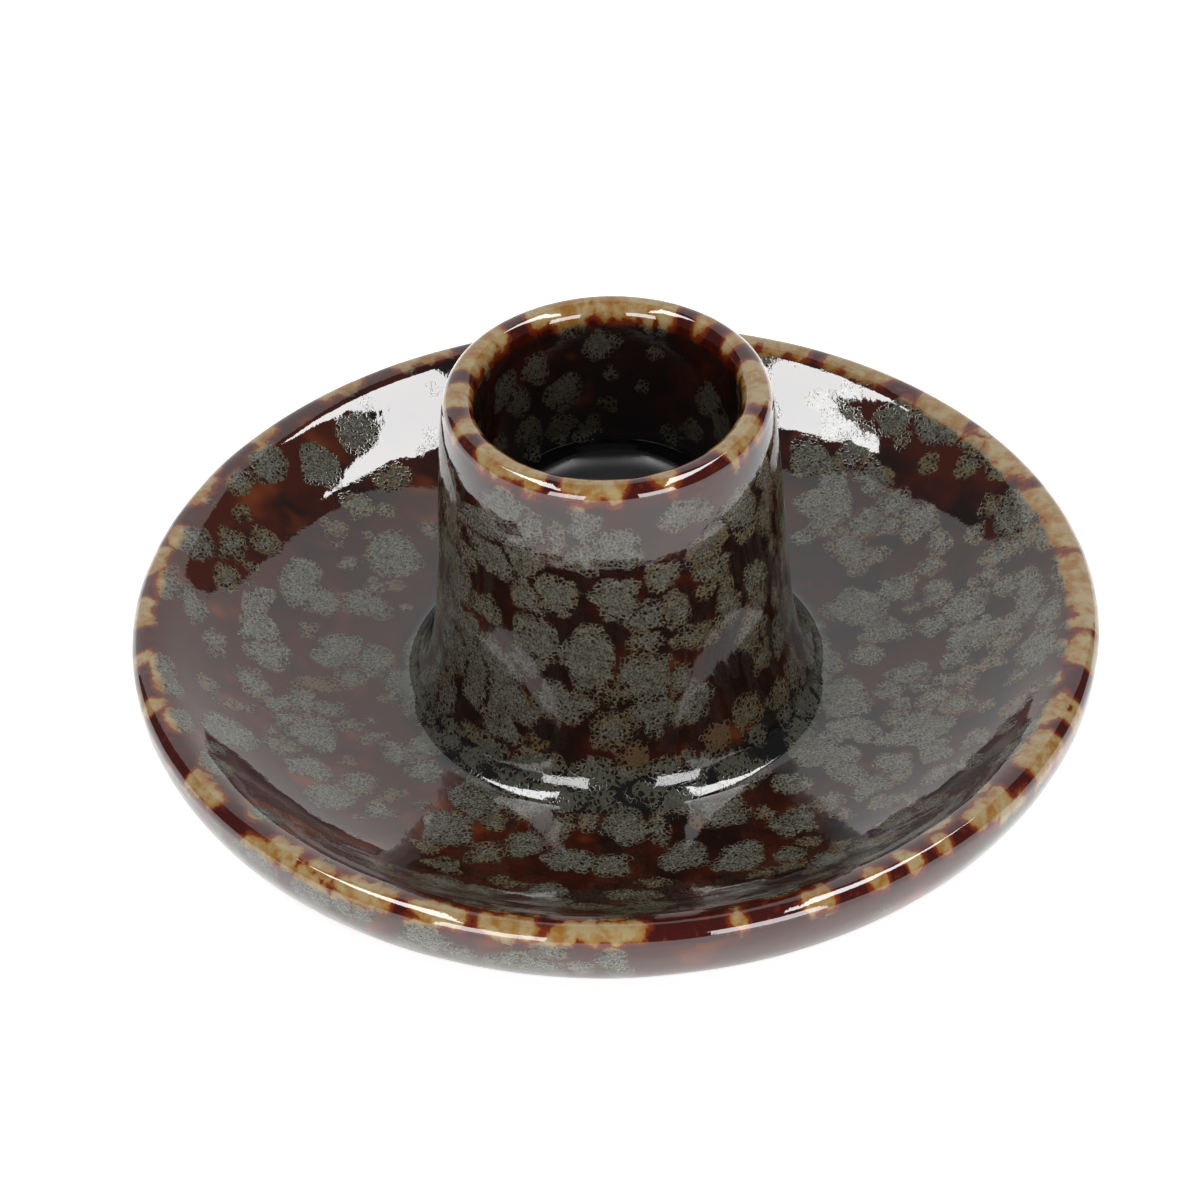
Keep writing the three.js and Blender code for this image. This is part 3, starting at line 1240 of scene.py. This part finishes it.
# Where more drops are thrown at random: face, azimuths, places, count, sizes, stretch, tones,
# and how far apart they stay.
THROWS = (
    Patch(Face.DISH, (30, 150), (22, 41), 60, (1.6, 4.0), 1.1, (0.4, 1.0), 0.75),
    Patch(Face.DISH, (-40, 30), (33, 41), 26, (1.6, 4.0), 0.7, (0.2, 1.0), 0.8),
    Patch(Face.DISH, (-160, -40), (21, 41), 34, (0.8, 2.2), 1.2, (0.1, 0.8), 1.1),
    Patch(Face.DISH, (150, 200), (21, 41), 36, (2.0, 5.0), 1.1, (0.3, 1.0), 0.66),
    Patch(Face.WALL, (-95, -60), (9, 34), 22, (2.4, 5.0), 1.1, (0.5, 1.0), 0.7),
    Patch(Face.WALL, (52, 110), (9, 34), 26, (1.8, 4.4), 1.4, (0.2, 0.9), 0.8),
    Patch(Face.WALL, (110, 265), (9, 34), 110, (2.0, 5.2), 1.2, (0.4, 1.0), 0.62),
    Patch(Face.WALL, (-180, 180), (5.5, 8.2), 74, (1.8, 4.4), 0.8, (0.5, 1.0), 0.5),
    Patch(Face.BORE, (-100, 100), (20, 35), 26, (1.6, 3.4), 1.0, (0.3, 0.8), 1.0),
    Patch(Face.SIDE, (-50, 2), (4, 10.4), 26, (2.6, 5.6), 1.0, (0.5, 1.0), 0.62),
    Patch(Face.SIDE, (2, 42), (3, 8), 6, (1.6, 3.0), 1.0, (0.2, 0.6), 1.2),
    Patch(Face.SIDE, (42, 310), (3, 10), 130, (2.2, 5.6), 1.0, (0.4, 1.0), 0.66),
    Patch(Face.UNDERSIDE, (-180, 180), (14, 33), 70, (2.0, 4.6), 1.0, (0.2, 0.9), 0.8),
)

# Runs of pale glaze along the rim of the saucer: azimuths of their ends.
RIM_RUNS = (
    (-176, -168), (-160, -152), (-147, -141), (-133, -129), (-121, -115), (-106, -101),
    (-96, -91), (-86, -83.5), (-77, -74.5), (-62, -56), (-46, -41.5), (-40, -36.5),
    (-35, -28), (-25, -19.5), (-17, -10.5), (-8, 2), (12, 14), (21, 24.5), (29, 32),
    (34, 37), (39, 41.5), (45, 52), (57, 64), (67, 70.5), (77, 82.5), (84, 98), (100, 112),
    (115, 126), (129, 136), (141, 150), (153, 166), (170, 181),
)

# Runs of pale glaze along the lip of the socket: azimuths of their ends.
LIP_RUNS = (
    (-174, -148), (-135, -106), (-97, -84), (-75, -65), (-56, -25), (-17, 5), (16, 25),
    (45, 70), (79, 105), (115, 124), (133, 141), (150, 184),
)


# ---------------------------------------------------------------------------------- the pieces


@dataclass
class GlazedBody:
    """The saucer and the socket, which share one unbroken glaze skin.

    Sizes are in millimetres. A pull is the control point of a curve, as radius and height. The
    bands are where glaze has run thin, and the runs are the pale glaze on them. The runs are
    broad beyond the azimuth broad_from. Warmth is 0 for dark glaze and 1 for red; below 0, on
    the socket wall and in the bore, it darkens the glaze as painted shade.
    """

    rim_radius: float
    rim_crest: float
    underside: float
    floor: float
    top: float
    bore_floor: float
    rim_roll: float = 1.5
    side_start: float = 33.5
    wall_start: float = 20.5
    wall_ease_low: float = 16.5
    wall_ease_high: float = 3.6
    flare_foot: float = 20.2
    flare_pull: float = 16.75
    waist: tuple[float, float] = (16.15, 14.5)
    shoulder: tuple[float, float] = (15.1, 33.5)
    lip_roll: float = 1.37
    lip_centre: float = 13.34
    bore_bottom: float = 11.3
    bore_fillet: float = 3.5
    hollow: float = 13.0
    hollow_top: float = 12.4
    hollow_roof: float = 17.8
    hollow_fillet: float = 4.0
    lip_pull: tuple[float, float] = (14.96, 35.6)
    drop_height: float = 0.014
    wave_height: float = 0.016
    pebble_height: float = 0.004
    ring_height: float = 0.0025
    rim_band: float = 2.9
    rim_band_gain: float = 1.5
    lip_band: float = 5.0
    rim_run: float = 2.9
    broad_run: float = 4.6
    broad_from: float = 50.0
    lip_run: float = 4.3
    # Warmth by face: red on the outside of the saucer; below 0 on the socket wall and in the bore,
    # where it darkens the glaze as painted shade.
    warmth_and_shade_of: dict[Face, float] = field(
        default_factory=lambda: {Face.SIDE: 0.8, Face.WALL: -0.1, Face.BORE: -0.35})
    around: int = 520
    seed: int = 11
    seam_row: int = field(init=False, default=0)

    def lay_out(self) -> Skin:
        """Draws the outline of the glaze skin.

        Returns:
            The skin, with no drops on it yet.
        """
        roll_height = self.rim_crest - self.rim_roll
        crest = self.rim_radius - self.rim_roll
        lip_height = self.top - self.lip_roll
        fillet = self.bore_fillet
        outline = Outline((self.hollow, self.underside))
        outline.line((self.side_start, self.underside), 1.0, Face.UNDERSIDE)
        outline.arc((self.side_start, roll_height),
                    (self.rim_radius - self.side_start, roll_height - self.underside),
                    (-90, 0), 0.42, Face.SIDE)
        outline.arc((crest, roll_height), (self.rim_roll, self.rim_roll), (0, 90), 0.2, Face.RIM)
        outline.bend([(crest - self.wall_ease_high, self.rim_crest),
                      (self.wall_start + self.wall_ease_low, self.floor),
                      (self.wall_start, self.floor)], 0.32, Face.DISH)
        outline.line((self.flare_foot, self.floor), 0.32, Face.DISH)
        self.seam_row = len(outline.faces) - 1
        outline.bend([(self.flare_pull, self.floor), self.waist], 0.32, Face.WALL)
        outline.line(self.shoulder, 0.4, Face.WALL)
        outline.bend([self.lip_pull, (self.lip_centre + self.lip_roll, lip_height)],
                     0.3, Face.WALL)
        outline.arc((self.lip_centre, lip_height), (self.lip_roll, self.lip_roll),
                    (0, 180), 0.2, Face.LIP)
        outline.line((self.bore_bottom, self.bore_floor + fillet), 0.5, Face.BORE)
        outline.arc((self.bore_bottom - fillet, self.bore_floor + fillet), (fillet, fillet),
                    (0, -90), 0.4, Face.WELL)
        outline.line((0.0, self.bore_floor), 0.8, Face.WELL)
        return Skin(outline, self.around)

    def spatter(self, skin: Skin) -> None:
        """Throws the second glaze over the skin.

        Args:
            skin: The skin, which keeps the drops.
        """
        chance = np.random.default_rng(self.seed)
        for right, back, across, deep, tone in DISH_DROPS:
            skin.drip(Splash.in_dish(right, back, across, deep, tone), chance)
        for azimuth, height, wide, tall, tone in WALL_DROPS:
            skin.drip(Splash(Face.WALL, azimuth, height, wide, tall, tone), chance)
        for azimuth, height, size, tone in BORE_DROPS:
            skin.drip(Splash(Face.BORE, azimuth, height, size, size, tone), chance)
        for ends in RIM_RUNS:
            width = self.broad_run if ends[0] > self.broad_from else self.rim_run
            skin.smear(Face.RIM, self.rim_radius - 0.8, ends, width, chance)
        for ends in LIP_RUNS:
            skin.smear(Face.LIP, self.lip_centre, ends, self.lip_run, chance)
        for patch in THROWS:
            skin.throw(patch, chance)
        skin.settle()

    def relief(self, skin: Skin) -> np.ndarray:
        """How far the fired glaze stands off the true outline.

        Args:
            skin: The skin with its drops.

        Returns:
            Heights over the grid in millimetres.
        """
        drops = smooth_step(skin.edges.max(axis=0), -0.3, 0.9) * self.drop_height
        waves = skin.ripple(9.0, 5) * self.wave_height + skin.ripple(3.0, 6) * self.pebble_height
        rings = skin.turning_rings(1.6, 7) * self.ring_height
        fade = smooth_step(skin.rows[:, 0], 0.0, 3.0)[:, None]
        return (drops + waves + rings) * fade

    def build_up(self, skin: Skin) -> np.ndarray:
        """Where the glaze is thin, pooled or warm.

        Args:
            skin: The skin.

        Returns:
            Three grids in one: millimetres past the thin band of the nearest lip; pooling, 1
            round the foot of the socket, where glaze pools, and up to 2 on the dull floor of the
            bore, where the darkening it brings is painted shade; and warmth, up to 1 where the
            glaze is red and below 0 on the socket wall and in the bore, where it darkens the
            glaze as painted shade.
        """
        def from_row(face: Face, place: float) -> np.ndarray:
            """Millimetres along the outline from a place on a face, for each row."""
            return np.abs(skin.along - skin.row_at(face, place))

        right = smooth_step(np.cos(skin.azimuth - math.radians(110)), -0.1, 0.6)
        half_band = (self.rim_band + self.rim_band_gain * right) / 2
        rim = from_row(Face.RIM, self.rim_radius - self.rim_roll / 2)[:, None] - half_band
        lip = from_row(Face.LIP, self.lip_centre)[:, None] - self.lip_band / 2
        edge = np.minimum(np.minimum(rim, lip), Sheet.FAR_FROM_A_LIP)
        # Pooling round the socket's foot, and the bore's well, whose darkening is painted shade.
        foot = 1 - from_row(Face.WALL, self.floor + 0.9) / 4.2
        well = 1 - from_row(Face.WELL, 0.0) / 16.0
        pool_and_well_shade = np.clip(np.maximum(foot, well * 1.6), 0.0, 1.0) + np.clip(well * 1.8, 0.0, 1.0)
        left = smooth_step(np.cos(skin.azimuth - math.radians(-75)), 0.1, 1.0)
        warmth = skin.flat() + 0.15 + left * 0.45
        # Warmth below 0, on the socket wall and in the bore, darkens the glaze as painted shade.
        for face, level in self.warmth_and_shade_of.items():
            warmth = np.where(skin.of_face(face), level, warmth)
        return np.stack([skin.flat() + edge, skin.flat() + pool_and_well_shade[:, None], warmth], -1)

    def plain_sheet(self, outline: Outline) -> Sheet:
        """A hidden or inner surface with no drops on it."""
        return Sheet.bare(Skin(outline, self.around))

    def make(self) -> list[bpy.types.Object]:
        """Builds and dresses the saucer and the socket.

        Returns:
            The two pieces.
        """
        skin = self.lay_out()
        self.spatter(skin)
        places = skin.places(self.relief(skin))
        normals = Skin.normals(places)
        drops = np.moveaxis(skin.edges, 0, -1)
        tones = np.moveaxis(skin.tones, 0, -1)
        build = self.build_up(skin)

        def stretch(rows: slice) -> Sheet:
            """The rows of the skin that belong to one piece."""
            return Sheet(places[:, rows], normals[rows], drops[rows], tones[rows], build[rows])

        seam = self.seam_row
        saucer_skin = stretch(slice(0, seam + 1))
        socket_skin = stretch(slice(seam, len(skin.rows)))
        seam_point = self.row_point(places, seam)
        start_point = self.row_point(places, 0)
        joint = Outline(seam_point).line((self.hollow, self.floor), 1.5, Face.UNDERSIDE)
        inside = Outline((self.hollow, self.floor)).line(start_point, 0.8, Face.UNDERSIDE)
        saucer = TurnedPiece("drip_saucer_glazed", [
            saucer_skin, self.plain_sheet(joint), self.plain_sheet(inside)])
        top = self.hollow_top
        fillet = self.hollow_fillet
        cave = Outline((0.0, self.hollow_roof))
        cave.line((top - fillet, self.hollow_roof), 1.2, Face.UNDERSIDE)
        cave.arc((top - fillet, self.hollow_roof - fillet), (fillet, fillet), (90, 0), 0.8,
                 Face.UNDERSIDE)
        cave.line((self.hollow, self.floor), 1.6, Face.UNDERSIDE)
        seat = Outline((self.hollow, self.floor)).line(seam_point, 1.5, Face.UNDERSIDE)
        socket = TurnedPiece("candle_socket_glazed", [
            socket_skin, self.plain_sheet(cave), self.plain_sheet(seat)])
        made = []
        for piece, node, slot in ((saucer, "drip_saucer", "glaze_saucer"),
                                  (socket, "candle_socket", "glaze_socket")):
            thing = piece.raise_mesh()
            thing.data.materials.append(SpottedGlaze(slot).make())
            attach(thing, BODY)
            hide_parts(node)
            made.append(thing)
        LOG.info("%d drops landed", len(skin.landed))
        return made

    @staticmethod
    def row_point(places: np.ndarray, row: int) -> tuple[float, float]:
        """Radius and height of the first point of a row of the grid."""
        x, y, z = places[:, row, 0]
        return (math.hypot(x, y), float(z))


@dataclass
class FootRing:
    """The bare clay ring that the holder stands on, trimmed with a tool and worn."""

    outer: float
    height: float
    width: float = 4.0
    worn_edge: float = 0.55
    glaze_line: float = 1.15
    around: int = 320

    def wear(self, ring: Skin) -> np.ndarray:
        """How far tool marks and wear have cut into the ring.

        Args:
            ring: The ring's grid.

        Returns:
            Heights over the grid in millimetres, none above 0.
        """
        radius = ring.rows[:, 0]
        fade = smooth_step(ring.rows[:, 1], self.height, self.height - 0.5)[:, None]
        tool_marks = np.sin(radius * 9.0)[:, None] * 0.012 - 0.02
        relief = np.minimum((tool_marks + ring.ripple(6.0, 21) * 0.01) * fade, 0.0)
        relief[np.abs(radius - (self.outer - self.width / 2)) < 0.1] *= 0.5
        return relief

    def make(self) -> bpy.types.Object:
        """Builds and dresses the ring.

        Returns:
            The ring.
        """
        worn = self.worn_edge
        inner = self.outer - self.width
        outline = Outline((inner, self.height))
        outline.line((inner, worn), 0.3, Face.UNDERSIDE)
        outline.arc((inner + worn, worn), (worn, worn), (180, 270), 0.12, Face.UNDERSIDE)
        outline.line((self.outer - worn, 0.0), 0.2, Face.UNDERSIDE)
        outline.arc((self.outer - worn, worn), (worn, worn), (-90, 0), 0.12, Face.UNDERSIDE)
        outline.line((self.outer, self.height), 0.3, Face.UNDERSIDE)
        ring = Skin(outline, self.around)
        lid = Outline((self.outer, self.height)).line((inner, self.height), 1.0, Face.UNDERSIDE)
        thing = TurnedPiece("foot_ring_clay", [
            Sheet.bare(ring, self.wear(ring)), Sheet.bare(Skin(lid, self.around))]).raise_mesh()
        thing.data.materials.append(BareClay("bare_clay", self.glaze_line).make())
        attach(thing, BODY)
        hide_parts("foot_ring")
        return thing


# ---------------------------------------------------------------------------------- the studio


@dataclass(frozen=True)
class Softbox:
    """A glowing panel, given by where its corners are seen from the middle of the object.

    Each corner is an azimuth and an elevation in degrees, and the distance is in metres.
    """

    name: str
    corners: tuple[tuple[float, float], ...]
    glow: float
    distance: float = 1.0

    CENTRE = Vector((0.0, 0.0, 0.01))

    def hang(self) -> bpy.types.Object:
        """Hangs the panel.

        Returns:
            The panel, which lights the object but isn't seen itself.
        """
        places = []
        for azimuth, elevation in self.corners:
            turn, lift = math.radians(azimuth), math.radians(elevation)
            places.append(Vector((math.sin(turn) * math.cos(lift),
                                  -math.cos(turn) * math.cos(lift),
                                  math.sin(lift))) * self.distance)
        mesh = bpy.data.meshes.new(self.name)
        mesh.from_pydata([place + self.CENTRE for place in places], [],
                         [tuple(range(len(places)))])
        material = bpy.data.materials.new(self.name)
        material.use_nodes = True
        nodes = material.node_tree.nodes
        nodes.clear()
        light = nodes.new("ShaderNodeEmission")
        light.inputs["Strength"].default_value = self.glow
        output = nodes.new("ShaderNodeOutputMaterial")
        material.node_tree.links.new(light.outputs[0], output.inputs["Surface"])
        mesh.materials.append(material)
        panel = bpy.data.objects.new(self.name, mesh)
        bpy.context.scene.collection.objects.link(panel)
        panel.visible_camera = False
        return panel


@dataclass
class Studio:
    """The pale table, the soft lights and the camera."""

    table_size: float = 6.0
    camera_elevation: float = 39.355
    camera_roll: float = 2.024
    camera_distance: float = 0.7119
    camera_aim: tuple[float, float, float] = (-0.001295, 0.0, 0.01388)
    lens: float = 235.35
    sensor: float = 36.0
    front_glow: float = 11.0
    overhead_glow: float = 16.0
    backdrop_glow: float = 1.18

    def set_camera(self) -> None:
        """Sets up the camera and looks through it."""
        lift, roll = math.radians(self.camera_elevation), math.radians(self.camera_roll)
        back = Vector((0.0, -math.cos(lift), math.sin(lift)))
        right = Vector((1.0, 0.0, 0.0))
        up = right.cross(-back)
        across = math.cos(roll) * right - math.sin(roll) * up
        upward = math.sin(roll) * right + math.cos(roll) * up
        stand = Matrix((across, upward, back)).transposed().to_4x4()
        stand.translation = Vector(self.camera_aim) + back * self.camera_distance
        data = bpy.data.cameras.new("camera")
        data.lens = self.lens
        data.sensor_width = self.sensor
        data.clip_start = 0.01
        data.clip_end = 50.0
        camera = bpy.data.objects.new("camera", data)
        camera.matrix_world = stand
        bpy.context.scene.collection.objects.link(camera)
        bpy.context.scene.camera = camera

    def lay_table(self) -> None:
        """Lays the white table top."""
        half = self.table_size / 2
        mesh = bpy.data.meshes.new("table_top")
        mesh.from_pydata([(-half, -half, 0), (half, -half, 0), (half, half, 0), (-half, half, 0)],
                         [], [(0, 1, 2, 3)])
        material = bpy.data.materials.new("white_card")
        material.use_nodes = True
        shader = material.node_tree.nodes["Principled BSDF"]
        shader.inputs["Base Color"].default_value = (0.9, 0.9, 0.9, 1.0)
        shader.inputs["Roughness"].default_value = 0.6
        shader.inputs["Specular IOR Level"].default_value = 0.2
        shader.inputs["Emission Color"].default_value = (1.0, 1.0, 1.0, 1.0)
        shader.inputs["Emission Strength"].default_value = 0.6
        mesh.materials.append(material)
        table = bpy.data.objects.new("table_top", mesh)
        bpy.context.scene.collection.objects.link(table)

    def hang_lights(self) -> None:
        """Hangs the softboxes: two in front, a long one over each side, and a pale backdrop."""
        front, overhead = self.front_glow, self.overhead_glow
        for softbox in (
            Softbox("front_left_softbox", ((-40, 2), (-17, 2), (-17, 28), (-40, 28)), front),
            Softbox("front_right_softbox", ((18, 2), (42, 2), (42, 28), (18, 28)), front),
            Softbox("left_overhead_softbox", ((-38, 44), (-110, 56), (-110, 72), (-50, 60)),
                    overhead),
            Softbox("right_overhead_softbox", ((38, 44), (124, 54), (117, 72), (50, 60)),
                    overhead),
            Softbox("backdrop", ((135, 0), (180, 0), (229, 0), (229, 60), (180, 60), (135, 60)),
                    self.backdrop_glow, distance=1.2),
        ):
            softbox.hang()

    def light_room(self) -> None:
        """Makes the room dim to the object and pale to the camera."""
        world = bpy.data.worlds.new("room")
        bpy.context.scene.world = world
        world.use_nodes = True
        tree = world.node_tree
        tree.nodes.clear()
        dim = tree.nodes.new("ShaderNodeBackground")
        dim.inputs["Color"].default_value = (0.12, 0.12, 0.13, 1.0)
        pale = tree.nodes.new("ShaderNodeBackground")
        pale.inputs["Color"].default_value = (0.93, 0.93, 0.94, 1.0)
        path = tree.nodes.new("ShaderNodeLightPath")
        mix = tree.nodes.new("ShaderNodeMixShader")
        output = tree.nodes.new("ShaderNodeOutputWorld")
        tree.links.new(path.outputs["Is Camera Ray"], mix.inputs[0])
        tree.links.new(dim.outputs[0], mix.inputs[1])
        tree.links.new(pale.outputs[0], mix.inputs[2])
        tree.links.new(mix.outputs[0], output.inputs["Surface"])

    def make(self) -> None:
        """Sets up the whole studio."""
        self.set_camera()
        self.lay_table()
        self.hang_lights()
        self.light_room()
        bpy.context.scene.view_settings.view_transform = "Standard"


def in_mm(value: float) -> float:
    """Metres to millimetres."""
    return value / MM


def main() -> None:
    """Builds the studio and the pieces, and reports each piece."""
    logging.basicConfig(level=logging.INFO)
    Studio().make()
    saucer_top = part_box("drip_saucer")[1]
    ring_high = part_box("foot_ring")[1]
    socket_low, socket_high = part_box("candle_socket")
    seat = next(m for m in frame["record"]["mounts"] if m["name"] == "candle_seat")
    ring = FootRing(outer=in_mm(ring_high.x), height=in_mm(ring_high.z))
    body = GlazedBody(rim_radius=in_mm(saucer_top.x), rim_crest=in_mm(saucer_top.z),
                      underside=in_mm(ring_high.z), floor=in_mm(socket_low.z),
                      top=in_mm(socket_high.z), bore_floor=in_mm(seat["pos_m"][2]))
    for piece in [ring.make(), *body.make()]:
        LOG.info("%s: %d faces", piece.name, len(piece.data.polygons))


if __name__ == "__main__":
    main()
